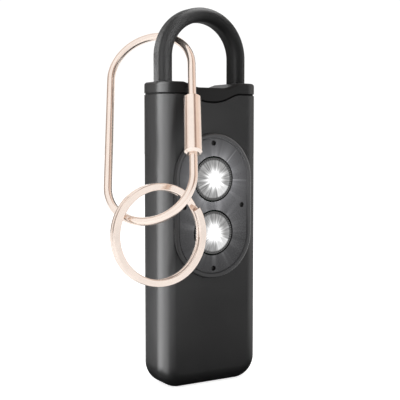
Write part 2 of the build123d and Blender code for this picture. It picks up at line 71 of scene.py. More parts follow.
def colour(name, text, value):
    return FloatVectorProperty(
        name=name, description=text, default=value, subtype="COLOR", size=3, min=0, max=1
    )


def length(name, text, value):
    return FloatProperty(
        name=name, description=text, default=value, unit="LENGTH", subtype="DISTANCE"
    )


def factor(name, text, value):
    return FloatProperty(
        name=name, description=text, default=value, min=0, max=1, subtype="FACTOR"
    )


class AlarmCaseSettings(PropertyGroup):
    """Black mouldings: casing, cap, loop, rear cover and button"""

    shade: colour("Case shade", "Colour of the black mouldings", (0.008, 0.008, 0.0082))
    roughness: factor("Case roughness", "Roughness of the black mouldings", 0.42)
    grain: length("Case grain", "Size of the mouldings' fine texture", 0.00022)


class AlarmWindowSettings(PropertyGroup):
    """Front window: bezel, panel and lamp optics"""

    panel_shade: colour("Panel shade", "Colour of the smoky panel", (0.036, 0.036, 0.038))
    bezel_shade: colour("Bezel shade", "Colour of the raised rim", (0.03, 0.03, 0.031))
    glow_shade: colour("Glow", "Colour of the lit lamps", (1.0, 1.0, 1.0))
    flutes: IntProperty(
        name="Flutes", description="Flutes round each lamp's optic", default=48, min=12
    )
    dome: length("Optic dome", "Height of the optic's dome", 0.0007)


class AlarmMetalSettings(PropertyGroup):
    """Rose-gold link, sleeve and split ring"""

    shade: colour("Rose gold", "Colour of the plated wire", (0.97, 0.84, 0.755))
    roughness: factor("Polish", "Roughness of the plated wire", 0.13)


class AlarmStageSettings(PropertyGroup):
    """Camera, floor and studio light"""

    camera_place: FloatVectorProperty(
        name="Camera place",
        description="Where the camera stands",
        default=(-0.15306, -0.25488, 0.08124),
        subtype="TRANSLATION",
        unit="LENGTH",
    )
    camera_yaw: FloatProperty(
        name="Camera yaw",
        description="Turn about the upright",
        default=radians(-30.99),
        subtype="ANGLE",
    )
    camera_pitch: FloatProperty(
        name="Camera pitch",
        description="Tilt below level",
        default=radians(4.146),
        subtype="ANGLE",
    )
    focal_pixels: FloatProperty(
        name="Focal length", description="Focal length in pixels of the picture", default=908.96
    )
    floor_side: length("Floor side", "Side of the square floor", 6.0)


# Shader building


def new_tree(group, inputs, outputs):
    """Empty shader node group with named sockets; returns it with its input and output nodes."""
    tree = bpy.data.node_groups.new(group, "ShaderNodeTree")
    for name, kind, value in inputs:
        socket = tree.interface.new_socket(name=name, in_out="INPUT", socket_type=kind)
        if value is not None:
            socket.default_value = value
    for name in outputs:
        tree.interface.new_socket(name=name, in_out="OUTPUT", socket_type="NodeSocketFloat")
    return tree, tree.nodes.new("NodeGroupInput"), tree.nodes.new("NodeGroupOutput")


class Shader:
    """Short names for adding nodes to one tree."""

    def __init__(self, tree):
        self.tree = tree

    def link(self, value, socket):
        """Feeds a socket from another one, or sets it to a plain value."""
        if isinstance(value, bpy.types.NodeSocket):
            self.tree.links.new(value, socket)
        else:
            socket.default_value = value

    def node(self, kind, inputs=(), **settings):
        node = self.tree.nodes.new(kind)
        for name, value in settings.items():
            setattr(node, name, value)
        for name, value in dict(inputs).items():
            self.link(value, node.inputs[name])
        return node

    def math(self, operation, *values):
        return self.node("ShaderNodeMath", enumerate(values), operation=operation).outputs[0]

    def mix(self, share, first, second):
        """Colour between the first, at a share of 0, and the second, at 1."""
        node = self.node(
            "ShaderNodeMix", {"Factor": share, "A": first, "B": second}, data_type="RGBA"
        )
        return node.outputs["Result"]

    def ramp(self, value, low, high, to_low=0.0, to_high=1.0, smooth=True):
        """Maps a value from one range to another, clamped."""
        node = self.node(
            "ShaderNodeMapRange",
            {
                "Value": value,
                "From Min": low,
                "From Max": high,
                "To Min": to_low,
                "To Max": to_high,
            },
            interpolation_type="SMOOTHSTEP" if smooth else "LINEAR",
        )
        return node.outputs["Result"]

    def noise(self, vector, scale, detail=2.0, roughness=0.5):
        node = self.node(
            "ShaderNodeTexNoise",
            {"Vector": vector, "Scale": scale, "Detail": detail, "Roughness": roughness},
        )
        return node.outputs["Fac"]


def four(rgb, scale=1.0):
    """Colour with its alpha, made lighter or darker by the scale."""
    return (rgb[0] * scale, rgb[1] * scale, rgb[2] * scale, 1.0)


def grey(value):
    return (value, value, value, 1.0)


BROAD_GRAIN = 0.012              # scale of the grain's broad patches, next to the fine ones


def grain_group():
    """Fine moulded texture: a shade factor, a roughness offset and a height."""
    tree, entry, exit_node = new_tree(
        "moulded_grain",
        [("Vector", "NodeSocketVector", None), ("Scale", "NodeSocketFloat", 4500.0)],
        ["Shade", "Roughness", "Height"],
    )
    s = Shader(tree)
    vector = entry.outputs["Vector"]
    scale = entry.outputs["Scale"]
    fine = s.noise(vector, scale, 3.0, 0.6)
    broad = s.noise(vector, s.math("MULTIPLY", scale, BROAD_GRAIN), 3.0, 0.55)
    s.link(s.ramp(broad, 0.3, 0.7, 0.86, 1.14), exit_node.inputs["Shade"])
    mixed = s.math("ADD", s.math("MULTIPLY", fine, 0.4), s.math("MULTIPLY", broad, 0.6))
    s.link(s.ramp(mixed, 0.3, 0.7, -0.04, 0.05), exit_node.inputs["Roughness"])
    s.link(fine, exit_node.inputs["Height"])
    return tree


SCRATCH_STRETCH = (1.0, 1.0, 0.08)   # draws the haze out into upright scratches
CLOUD = 0.25                         # scale of the haze's clouds, next to the scratches


def polish_group():
    """Faint scratches and haze of polished metal: a roughness offset, a height and a tint."""
    tree, entry, exit_node = new_tree(
        "polished_haze",
        [("Vector", "NodeSocketVector", None), ("Scale", "NodeSocketFloat", 900.0)],
        ["Roughness", "Height", "Tint"],
    )
    s = Shader(tree)
    vector = entry.outputs["Vector"]
    scale = entry.outputs["Scale"]
    stretched = s.node(
        "ShaderNodeMapping", {"Vector": vector, "Scale": SCRATCH_STRETCH}, vector_type="POINT"
    ).outputs["Vector"]
    lines = s.noise(stretched, scale, 4.0, 0.7)
    cloud = s.noise(vector, s.math("MULTIPLY", scale, CLOUD), 2.0, 0.5)
    s.link(s.ramp(cloud, 0.3, 0.75, -0.03, 0.06), exit_node.inputs["Roughness"])
    s.link(lines, exit_node.inputs["Height"])
    s.link(s.ramp(cloud, 0.25, 0.75), exit_node.inputs["Tint"])
    return tree


# Light round a lamp. Angles are in degrees up from level, radii in parts of the lamp's reach.
SPIKE_REACH = (0.52, 0.98)       # least and most reach of the core's spikes
CORE_FADE = (0.28, 1.16)         # where the core starts to fade and has gone, along a spike
# The bright wedge is a painted reflection
REFLECTION_WEDGE_START = (-76, -72)         # soft lower side of the bright wedge
REFLECTION_WEDGE_END = (-25, -21)           # soft upper side of it
RIM_TICKS = 56.0                 # light marks round the rim
GLINT_WAYS = (47, -3)            # long thin rays of the upper lamp
GLINT_WIDTH = 0.035              # of such a ray, from its middle to its side, in radians


def rays_group():
    """Light round one lamp: spiky core, fine streaks, broad beams and a wedge of painted
    reflection.
    """
    tree, entry, exit_node = new_tree(
        "lamp_rays",
        [
            ("Vector", "NodeSocketVector", None),
            ("Height", "NodeSocketFloat", 0.06),
            ("Reach", "NodeSocketFloat", 0.0062),
            ("Seed", "NodeSocketFloat", 0.0),
        ],
        ["Radius", "Core", "Streaks", "Beams", "Reflection wedge", "Ticks", "Glints"],
    )
    s = Shader(tree)
    split = s.node("ShaderNodeSeparateXYZ", {"Vector": entry.outputs["Vector"]})
    across = split.outputs["X"]
    rise = s.math("SUBTRACT", split.outputs["Z"], entry.outputs["Height"])
    square = s.math("ADD", s.math("MULTIPLY", across, across), s.math("MULTIPLY", rise, rise))
    radius = s.math("DIVIDE", s.math("SQRT", square), entry.outputs["Reach"])
    angle = s.math("ARCTAN2", rise, across)
    around = s.node(
        "ShaderNodeCombineXYZ",
        {"X": s.math("COSINE", angle), "Y": s.math("SINE", angle), "Z": entry.outputs["Seed"]},
    ).outputs["Vector"]
    spikes = s.ramp(s.noise(around, 4.0, 3.0, 0.7), 0.36, 0.68, *SPIKE_REACH, smooth=False)
    core = s.ramp(s.math("DIVIDE", radius, spikes), *CORE_FADE, 1.0, 0.0)
    s.link(s.math("POWER", core, 1.5), exit_node.inputs["Core"])
    fine = s.noise(around, 14.0, 3.0, 0.7)
    s.link(s.ramp(fine, 0.35, 0.68), exit_node.inputs["Streaks"])
    s.link(s.ramp(s.noise(around, 3.2, 2.0, 0.6), 0.42, 0.7), exit_node.inputs["Beams"])
    low = s.ramp(angle, *(radians(way) for way in REFLECTION_WEDGE_START))
    high = s.ramp(angle, *(radians(way) for way in REFLECTION_WEDGE_END), 1.0, 0.0)
    s.link(s.math("MULTIPLY", low, high), exit_node.inputs["Reflection wedge"])
    wave = s.math("SINE", s.math("MULTIPLY", angle, RIM_TICKS))
    s.link(s.ramp(wave, -0.6, 0.9), exit_node.inputs["Ticks"])
    glints = []
    for way in GLINT_WAYS:
        turn = s.math("ABSOLUTE", s.math("SUBTRACT", angle, radians(way)))
        glints.append(s.ramp(turn, 0.0, GLINT_WIDTH, 1.0, 0.0))
    s.link(s.math("MAXIMUM", *glints), exit_node.inputs["Glints"])
    s.link(radius, exit_node.inputs["Radius"])
    return tree


def shared_groups():
    """The node groups that several materials use, built once."""
    made = bpy.data.node_groups
    return {
        "grain": made.get("moulded_grain") or grain_group(),
        "polish": made.get("polished_haze") or polish_group(),
        "rays": made.get("lamp_rays") or rays_group(),
    }


def new_material(name, fixed=()):
    """Material with one Principled BSDF, some of whose sockets are set to plain values.

    Returns the material, its shader helper and the BSDF.
    """
    surface = bpy.data.materials.new(name)
    surface.use_nodes = True
    tree = surface.node_tree
    tree.nodes.clear()
    s = Shader(tree)
    bsdf = s.node("ShaderNodeBsdfPrincipled", fixed)
    s.node("ShaderNodeOutputMaterial", {"Surface": bsdf.outputs["BSDF"]})
    return surface, s, bsdf


def object_place(s):
    return s.node("ShaderNodeTexCoord").outputs["Object"]


def bumped(s, bsdf, height, strength, distance):
    bump = s.node(
        "ShaderNodeBump", {"Height": height, "Strength": strength, "Distance": distance}
    )
    s.link(bump.outputs["Normal"], bsdf.inputs["Normal"])


GRAIN_DEPTH = 0.2                # of the grain's size
GRAIN_TINTS = (0.86, 1.14)       # a moulding's darkest and lightest patches, times its colour
SCRATCH_DEPTH = 0.00002
SCRATCH_STRENGTH = 0.05
HAZE_TINT = 0.95                 # a metal's darkest haze, times its colour


def moulded(name, rgb, roughness, grain, groups, strength=0.15, specular=0.5):
    """Moulded plastic with a fine texture."""
    surface, s, bsdf = new_material(name, {"Specular IOR Level": specular})
    texture = s.node(
        "ShaderNodeGroup",
        {"Vector": object_place(s), "Scale": 1.0 / grain},
        node_tree=groups["grain"],
    ).outputs
    shade = s.ramp(texture["Shade"], 0.8, 1.2, smooth=False)
    darkest, lightest = (four(rgb, tint) for tint in GRAIN_TINTS)
    s.link(s.mix(shade, darkest, lightest), bsdf.inputs["Base Color"])
    s.link(s.math("ADD", texture["Roughness"], roughness), bsdf.inputs["Roughness"])
    bumped(s, bsdf, texture["Height"], strength, grain * GRAIN_DEPTH)
    return surface


def plated(name, rgb, roughness, groups, scale=900.0, metallic=1.0):
    """Polished or brushed metal with faint scratches."""
    surface, s, bsdf = new_material(name, {"Metallic": metallic})
    haze = s.node(
        "ShaderNodeGroup",
        {"Vector": object_place(s), "Scale": scale},
        node_tree=groups["polish"],
    ).outputs
    s.link(s.mix(haze["Tint"], four(rgb, HAZE_TINT), four(rgb)), bsdf.inputs["Base Color"])
    s.link(s.math("ADD", haze["Roughness"], roughness), bsdf.inputs["Roughness"])
    bumped(s, bsdf, haze["Height"], SCRATCH_STRENGTH, SCRATCH_DEPTH)
    return surface


def wear(node_name, surface):
    """Gives a CAD node its material."""
    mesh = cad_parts[node_name].data
    mesh.materials.clear()
    mesh.materials.append(surface)


# Black mouldings

CASE_SPECULAR = 0.14
LOOP_SPECULAR = 0.07
LOOP_BUMP = 0.04
LOOP_DARKER = 0.5                # shade of the loop, next to the casing's
LOOP_ROUGHER = 0.16              # roughness of the loop, over the casing's
SCREW_STEEL = (0.16, 0.16, 0.165)
SCREW_ROUGHNESS = 0.32
SCREW_HAZE = 1500.0              # scale of the screws' haze


class ALARM_OT_case(Operator):
    """Finish the black mouldings and the cover screws"""

    bl_idname = "alarm.case"
    bl_label = "Case"

    def execute(self, context):
        groups = shared_groups()
        case = context.scene.alarm_case
        shade, roughness, grain = case.shade, case.roughness, case.grain
        black, cap = (
            moulded(name, shade, roughness, grain, groups, specular=CASE_SPECULAR)
            for name in ("black_moulding", "cap_moulding")
        )
        for name in ("casing", "rear_cover", "lamp_button"):
            wear(name, black)
        # Painted shade in the cap's seam
        paint_seam_shade(cap)
        wear("pull_cap", cap)
        dark = [part * LOOP_DARKER for part in shade]
        dull = roughness + LOOP_ROUGHER
        loop = moulded("loop_moulding", dark, dull, grain, groups, LOOP_BUMP, LOOP_SPECULAR)
        wear("pull_loop", loop)
        steel = plated("blackened_steel", SCREW_STEEL, SCREW_ROUGHNESS, groups, SCREW_HAZE)
        wear("cover_screws", steel)
        return {"FINISHED"}


# Painted shade on the cap's tongue, which lies between these depths inside the casing's outline,
# soft at both ends, and shows in the seam up to this height above the casing
TONGUE_OUTSIDE = (0.0001, 0.0002)
TONGUE_INSIDE = (0.0005, 0.0006)
SEAM_TOP = (0.0005, 0.0007)
SEAM_PAINTED_SHADE = 0.001


def paint_seam_shade(surface):
    """Paints shade on the cap's tongue where it shows in the seam under the cap's edge, and makes
    it rough there.
    """
    s = Shader(surface.node_tree)
    bsdf = surface.node_tree.nodes["Principled BSDF"]
    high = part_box("casing")[1]
    split = s.node("ShaderNodeSeparateXYZ", {"Vector": object_place(s)})
    past = [
        s.math("SUBTRACT", s.math("ABSOLUTE", split.outputs[axis]), half - CASE_EDGE_RADIUS)
        for axis, half in (("X", high.x), ("Y", high.y))
    ]
    corner = [s.math("MAXIMUM", value, 0.0) for value in past]
    squares = [s.math("MULTIPLY", value, value) for value in corner]
    flat = s.math("MINIMUM", s.math("MAXIMUM", *past), 0.0)
    outwards = s.math("ADD", s.math("SQRT", s.math("ADD", *squares)), flat)
    depth = s.math("SUBTRACT", CASE_EDGE_RADIUS, outwards)
    recess_painted_shade = s.math(
        "MULTIPLY", s.ramp(depth, *TONGUE_OUTSIDE), s.ramp(depth, *TONGUE_INSIDE, 1.0, 0.0)
    )
    low_end, high_end = (high.z + rise for rise in SEAM_TOP)
    under = s.ramp(split.outputs["Z"], low_end, high_end, 1.0, 0.0)
    # Painted shade: the tongue's colour goes dark in the seam
    seam_painted_shade = s.math("MULTIPLY", recess_painted_shade, under)
    skin = bsdf.inputs["Base Color"].links[0].from_socket
    s.link(s.mix(seam_painted_shade, skin, grey(SEAM_PAINTED_SHADE)), bsdf.inputs["Base Color"])
    haze = bsdf.inputs["Roughness"].links[0].from_socket
    s.link(s.math("MAXIMUM", haze, seam_painted_shade), bsdf.inputs["Roughness"])


# Window

BEZEL_ROUGHNESS = 0.24
BEZEL_BUMP = 0.03
BEZEL_SPECULAR = 0.35
PANEL_ROUGHNESS = 0.28
PANEL_SPECULAR = 0.3
PANEL_GRAIN = 2500.0             # scale of the panel's fine texture
PANEL_TINTS = (0.85, 1.5)        # far from the lamps and in their light, times its colour
PANEL_REACH = 0.0074             # of a lamp's full light on the panel, from the lamp's middle
PANEL_SEEDS = {"upper": 3.0, "lower": 7.0}
PANEL_GLOW = 0.13                # strength of the lamps' light on the panel
GLOW_FALL = 3.0                  # power of the radius with which it falls off
GLOW_EVEN = 0.1                  # light between the beams, which themselves reach 1
GLINT_LIGHT = 2.0                # light of the upper lamp's long rays
GLOW_MOST = 2.0                  # light that counts as full
# Painted shade in the pin holes: the depths behind the panel's face over which it comes in, and its
# colour
HOLE_DEPTHS = (0.00004, 0.0003)  # behind the panel's face, where a pin hole darkens
HOLE_PAINTED_SHADE = 0.004


class ALARM_OT_window(Operator):
    """Finish the bezel and the smoky panel, with the lamps' light on them"""

    bl_idname = "alarm.window"
    bl_label = "Window"

    def execute(self, context):
        groups = shared_groups()
        window = context.scene.alarm_window
        shade, grain = window.bezel_shade, context.scene.alarm_case.grain
        bezel = moulded(
            "bezel_gloss", shade, BEZEL_ROUGHNESS, grain, groups, BEZEL_BUMP, BEZEL_SPECULAR
        )
        wear("window_bezel", bezel)
        wear("window_panel", panel_material(window, groups))
        return {"FINISHED"}


def lamp_height(lamp):
    low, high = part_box("lamp_lens_" + lamp)
    return (low.z + high.z) / 2


def lamp_rays(s, place, lamp, reach, seed, groups):
    """Outputs of the rays group, centred on a lamp."""
    return s.node(
        "ShaderNodeGroup",
        {"Vector": place, "Height": lamp_height(lamp), "Reach": reach, "Seed": seed},
        node_tree=groups["rays"],
    ).outputs


def panel_material(window, groups):
    """Smoky moulding with faint streaks of painted light round each lamp and painted shade in the
    pin holes.
    """
    surface, s, bsdf = new_material(
        "smoky_panel", {"Specular IOR Level": PANEL_SPECULAR, "Emission Strength": PANEL_GLOW}
    )
    place = object_place(s)
    parts = []
    # Painted light of the lamps on the panel: it makes the colour lighter and the panel glow
    for lamp in LAMPS:
        rays = lamp_rays(s, place, lamp, PANEL_REACH, PANEL_SEEDS[lamp], groups)
        closeness = s.math("DIVIDE", 1.0, s.math("MAXIMUM", rays["Radius"], 1.0))
        near = s.math("POWER", closeness, GLOW_FALL)
        streak = s.math("ADD", rays["Beams"], GLOW_EVEN)
        if lamp == "upper":
            streak = s.math("ADD", streak, s.math("MULTIPLY", rays["Glints"], GLINT_LIGHT))
        parts.append(s.math("MULTIPLY", near, streak))
    lit = s.ramp(s.math("ADD", *parts), 0.0, GLOW_MOST, smooth=False)
    texture = s.node(
        "ShaderNodeGroup", {"Vector": place, "Scale": PANEL_GRAIN}, node_tree=groups["grain"]
    ).outputs
    # Painted shade in the pin holes, by depth behind the panel's face
    depth = s.node("ShaderNodeSeparateXYZ", {"Vector": place}).outputs["Y"]
    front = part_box("window_panel")[0].y
    recess_painted_shade = s.ramp(depth, *(front + part for part in HOLE_DEPTHS))
    face = s.mix(lit, *(four(window.panel_shade, tint) for tint in PANEL_TINTS))
    s.link(s.mix(recess_painted_shade, face, grey(HOLE_PAINTED_SHADE)), bsdf.inputs["Base Color"])
    # Painted glow of the lamps, kept out of the pin holes
    haze = s.math("MULTIPLY", lit, s.math("SUBTRACT", 1.0, recess_painted_shade))
    s.link(s.mix(haze, grey(0), four(window.glow_shade)), bsdf.inputs["Emission Color"])
    s.link(s.math("ADD", texture["Roughness"], PANEL_ROUGHNESS), bsdf.inputs["Roughness"])
    return surface


# Lamps

DOME_RINGS = 7                   # rings of faces that form an optic's dome
FLUTED = (0.3, 0.97)             # parts of the optic's radius between which the flutes lie
FLUTE_DEPTH = 0.02               # of the optic's radius
DOME_SLACK = 0.001               # of the radius: how far behind the lens's front the dome starts
OPTIC_CREASE = 12                # degrees above which an edge of the optic stays sharp

LENS_REACH = 0.0062              # radius of a lens's lit face
LENS_SEEDS = {"upper": 1.0, "lower": 2.0}
LENS_ROUGHNESS = 0.12
LENS_SHADES = (0.03, 0.1)        # of a lens, between its streaks and on them
LENS_LIGHT = (0.17, 0.36)        # its glow, between the streaks and on them
# The light in the wedge is a painted reflection
REFLECTION_WEDGE_LIGHT = (0.62, 0.72)       # the same in the bright wedge
CORE_LIGHT = 1.05
LENS_RIM = (0.93, 1.0)           # parts of the reach over which the glow falls off
LENS_RIM_LIGHT = 0.4             # what is left of it at the rim
CUP_SEED = 0.0
CUP_RIM = (0.98, 1.0)            # parts of the reach over which the bowl turns into its rim
CUP_RIM_SHADES = (0.05, 0.15)    # of the rim, between its ticks and on them
CUP_PLATING = 0.9                # shade of the bowl
CUP_ROUGHNESS = (0.12, 0.3)      # between the streaks and on them
EMITTER_YELLOW = (0.9, 0.8, 0.4)
EMITTER_WHITENESS = (0.8, 1.0)   # least and most of the glow's own colour in a grain
EMITTER_GLOW = 3.0
EMITTER_CELLS = 900.0            # scale of the emitter's grains of phosphor


class ALARM_OT_lamps(Operator):
    """Model the fluted optic of each lamp and light it"""

    bl_idname = "alarm.lamps"
    bl_label = "Lamps"

    def execute(self, context):
        groups = shared_groups()
        window = context.scene.alarm_window
        for lamp in LAMPS:
            optic = model_optic(lamp, window)
            optic.data.materials.append(optic_material(lamp, groups))
            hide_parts("lamp_lens_" + lamp)
            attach(optic, "alarm_body")
            wear("lamp_reflector_" + lamp, reflector_material(lamp, groups))
            wear("lamp_led_" + lamp, led_material(lamp, window))
        return {"FINISHED"}


def deselect():
    bpy.ops.object.select_all(action="DESELECT")


def is_front_disc(face):
    """Whether a face is the flat disc in the middle of the front, and not one of a ring's quads."""
    return face.normal.y < -0.9 and len(face.verts) > 4


def model_optic(lamp, window):
    """Domed disc with fine flutes, in the place of the flat lens."""
    low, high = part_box("lamp_lens_" + lamp)
    centre = (low + high) / 2
    radius = (high.x - low.x) / 2
    thickness = high.y - low.y
    deselect()
    bpy.ops.mesh.primitive_cylinder_add(
        vertices=2 * window.flutes,
        radius=radius,
        depth=thickness,
        location=centre,
        rotation=(pi / 2, 0, 0),
        end_fill_type="NGON",
    )
    optic = bpy.context.object
    optic.name = "lamp_optic_" + lamp
    bpy.ops.object.transform_apply(location=True, rotation=True, scale=True)
    ring = 1 / (DOME_RINGS + 1)
    for number in range(1, DOME_RINGS + 1):
        select_faces(optic, is_front_disc)
        bpy.ops.mesh.inset(thickness=radius * ring, depth=0)
        inner = 1 - number * ring
        rise = window.dome * (cos(inner * pi / 2) - cos((inner + ring) * pi / 2))
        bpy.ops.transform.translate(value=(0, -rise, 0))
        bpy.ops.object.mode_set(mode="OBJECT")
    flute(optic, centre, radius, low.y, window.flutes)
    bpy.ops.object.shade_smooth_by_angle(angle=radians(OPTIC_CREASE))
    return optic


def select_faces(piece, wanted):
    """Opens edit mode with only the wanted faces selected."""
    bpy.ops.object.mode_set(mode="EDIT")
    bpy.ops.mesh.select_mode(type="FACE")
    bpy.ops.mesh.select_all(action="DESELECT")
    mesh = bmesh.from_edit_mesh(piece.data)
    mesh.faces.ensure_lookup_table()
    for face in mesh.faces:
        face.select_set(wanted(face))
    bmesh.update_edit_mesh(piece.data)


def flute(optic, centre, radius, front, flutes):
    """Sinks every other spoke of the dome a little, which leaves radial flutes."""
    bpy.ops.object.mode_set(mode="EDIT")
    bpy.ops.mesh.select_mode(type="VERT")
    bpy.ops.mesh.select_all(action="DESELECT")
    mesh = bmesh.from_edit_mesh(optic.data)
    start, end = (part * radius for part in FLUTED)
    for vert in mesh.verts:
        offset = vert.co - centre
        spoke = Vector((offset.x, offset.z))
        turn = spoke.angle_signed(Vector((1, 0)), 0.0)
        odd = round(turn / (pi / flutes)) % 2
        on_dome = vert.co.y < front + radius * DOME_SLACK
        if odd and start < spoke.length < end and on_dome:
            vert.select_set(True)
    bmesh.update_edit_mesh(optic.data)
    bpy.ops.transform.translate(value=(0, radius * FLUTE_DEPTH, 0))
    bpy.ops.object.mode_set(mode="OBJECT")


def optic_material(lamp, groups):
    """Clear optic lit from behind: bright core, fine streaks, one wedge of painted reflection,
    darker rim.
    """
    surface, s, bsdf = new_material(
        "lit_optic_" + lamp, {"Emission Strength": 1.0, "Roughness": LENS_ROUGHNESS}
    )
    rays = lamp_rays(s, object_place(s), lamp, LENS_REACH, LENS_SEEDS[lamp], groups)
    streaks = rays["Streaks"]
    plain = s.ramp(streaks, 0.0, 1.0, *LENS_LIGHT)
    # Painted reflection: a bright wedge low on the right of the lens
    wedge = s.math("MULTIPLY", rays["Reflection wedge"], s.ramp(streaks, 0.0, 1.0, *REFLECTION_WEDGE_LIGHT))
    core = s.math("MULTIPLY", rays["Core"], CORE_LIGHT)
    light = s.math("ADD", s.math("MAXIMUM", plain, wedge), core)
    light = s.math("MULTIPLY", light, s.ramp(rays["Radius"], *LENS_RIM, 1.0, LENS_RIM_LIGHT))
    shown = s.node("ShaderNodeCombineColor", {"Red": light, "Green": light, "Blue": light})
    s.link(shown.outputs["Color"], bsdf.inputs["Emission Color"])
    s.link(s.mix(streaks, *map(grey, LENS_SHADES)), bsdf.inputs["Base Color"])
    return surface


def reflector_material(lamp, groups):
    """Dark moulded rim with light ticks, bright plated bowl."""
    surface, s, bsdf = new_material("lamp_cup_" + lamp)
    rays = lamp_rays(s, object_place(s), lamp, LENS_REACH, CUP_SEED, groups)
    rim = s.ramp(rays["Radius"], *CUP_RIM)
    edge = s.mix(rays["Ticks"], *map(grey, CUP_RIM_SHADES))
    s.link(s.mix(rim, grey(CUP_PLATING), edge), bsdf.inputs["Base Color"])
    s.link(s.math("SUBTRACT", 1.0, rim), bsdf.inputs["Metallic"])
    s.link(s.ramp(rays["Streaks"], 0.0, 1.0, *CUP_ROUGHNESS), bsdf.inputs["Roughness"])
    return surface


def led_material(lamp, window):
    """Lit emitter with fine yellow grains of phosphor."""
    glow = four(window.glow_shade)
    surface, s, bsdf = new_material(
        "lamp_emitter_" + lamp, {"Emission Color": glow, "Emission Strength": EMITTER_GLOW}
    )
    cells = s.node("ShaderNodeTexVoronoi", {"Vector": object_place(s), "Scale": EMITTER_CELLS})
    white = s.ramp(cells.outputs["Distance"], 0.0, 1.0, *EMITTER_WHITENESS)
    s.link(s.mix(white, four(EMITTER_YELLOW), glow), bsdf.inputs["Base Color"])
    return surface


# Metal and inner pieces

GOLD_METALLIC = 0.84             # under 1, for the plating's pale look
INNER_ROUGHNESS = 0.5
# Inner finishes: name, nodes, colour, and for the metals the roughness
PLASTICS = (
    ("chamber_moulding", ("siren_chamber", "battery_tray", "contact_block", "switch_body"),
     (0.2, 0.2, 0.2)),
    ("blade_moulding", ("pull_blade",), (0.75, 0.72, 0.62)),
    ("plunger_moulding", ("switch_plunger",), (0.5, 0.08, 0.06)),
    ("chip_moulding", ("driver_chip",), (0.03, 0.03, 0.03)),
    ("ceramic_disc", ("siren_ceramic",), (0.85, 0.82, 0.75)),
    ("ferrite", ("coil_core",), (0.12, 0.12, 0.12)),
)
METALS = (
    ("copper_winding", ("coil_winding",), (0.72, 0.35, 0.18), 0.3),
    ("bright_can", ("board_capacitor",), (0.8, 0.8, 0.82), 0.25),
    ("rolled_brass", ("siren_plate",), (0.8, 0.6, 0.3), 0.25),
    ("nickel_steel", ("coin_cells",), (0.75, 0.75, 0.76), 0.22),
    ("spring_bronze", ("cell_floor_contact", "cell_clip_contact", "contact_leaves"),
     (0.8, 0.68, 0.45), 0.25),
)
SOLDER_MASK = (0.01, 0.09, 0.035)
MASKED_TRACK = (0.03, 0.2, 0.08)
TRACKS = {"Scale": 400.0, "Mortar Size": 0.03, "Brick Width": 0.8, "Row Height": 0.3}


class ALARM_OT_metal(Operator):
    """Finish the rose-gold link, its sleeve and the split ring"""

    bl_idname = "alarm.metal"
    bl_label = "Rose-gold wire"

    def execute(self, context):
        groups = shared_groups()
        metal = context.scene.alarm_metal
        gold = plated("rose_gold", metal.shade, metal.roughness, groups, metallic=GOLD_METALLIC)
        for name in ("link_bow", "link_sleeve", "split_ring"):
            wear(name, gold)
        return {"FINISHED"}


class ALARM_OT_inner(Operator):
    """Finish the pieces inside the casing"""

    bl_idname = "alarm.inner"
    bl_label = "Inner parts"

    def execute(self, context):
        groups = shared_groups()
        grain = context.scene.alarm_case.grain
        for name, nodes, rgb in PLASTICS:
            finish = moulded(name, rgb, INNER_ROUGHNESS, grain, groups)
            for node in nodes:
                wear(node, finish)
        for name, nodes, rgb, roughness in METALS:
            finish = plated(name, rgb, roughness, groups)
            for node in nodes:
                wear(node, finish)
        wear("circuit_board", board_material())
        return {"FINISHED"}


def board_material():
    """Green solder mask with a pattern of copper tracks under it."""
    surface, s, bsdf = new_material("circuit_board", {"Roughness": 0.3})
    tracks = s.node("ShaderNodeTexBrick", {"Vector": object_place(s), **TRACKS})
    mask = s.mix(tracks.outputs["Fac"], four(SOLDER_MASK), four(MASKED_TRACK))
    s.link(mask, bsdf.inputs["Base Color"])
    return surface


# Stage


class ALARM_OT_stage(Operator):
    """Set the floor, the studio light and the camera"""

    bl_idname = "alarm.stage"
    bl_label = "Stage"

    def execute(self, context):
        stage = context.scene.alarm_stage
        add_floor(stage)
        add_world(context.scene, stage)
        for lamp in STUDIO:
            add_softbox(*lamp)
        for lamp in GLOSS:
            add_strip(*lamp)
        for lamp in SPILL:
            add_spill(*lamp)
        add_camera(context.scene, stage)
        context.scene.view_settings.view_transform = "Standard"
        return {"FINISHED"}


# Softboxes that light the target and show in no reflection:
# name, direction from the target, distance, width, height, brightness
TARGET = Vector((-0.004, -0.004, 0.06))
STUDIO = (
    ("softbox_left", (-0.86, -0.5, 0.16), 0.55, 0.3, 0.6, 1.3),
    ("softbox_top", (-0.1, -0.25, 1.0), 0.6, 0.45, 0.35, 1.6),
    ("softbox_right", (0.97, 0.1, 0.25), 0.6, 0.2, 0.5, 1.2),
)
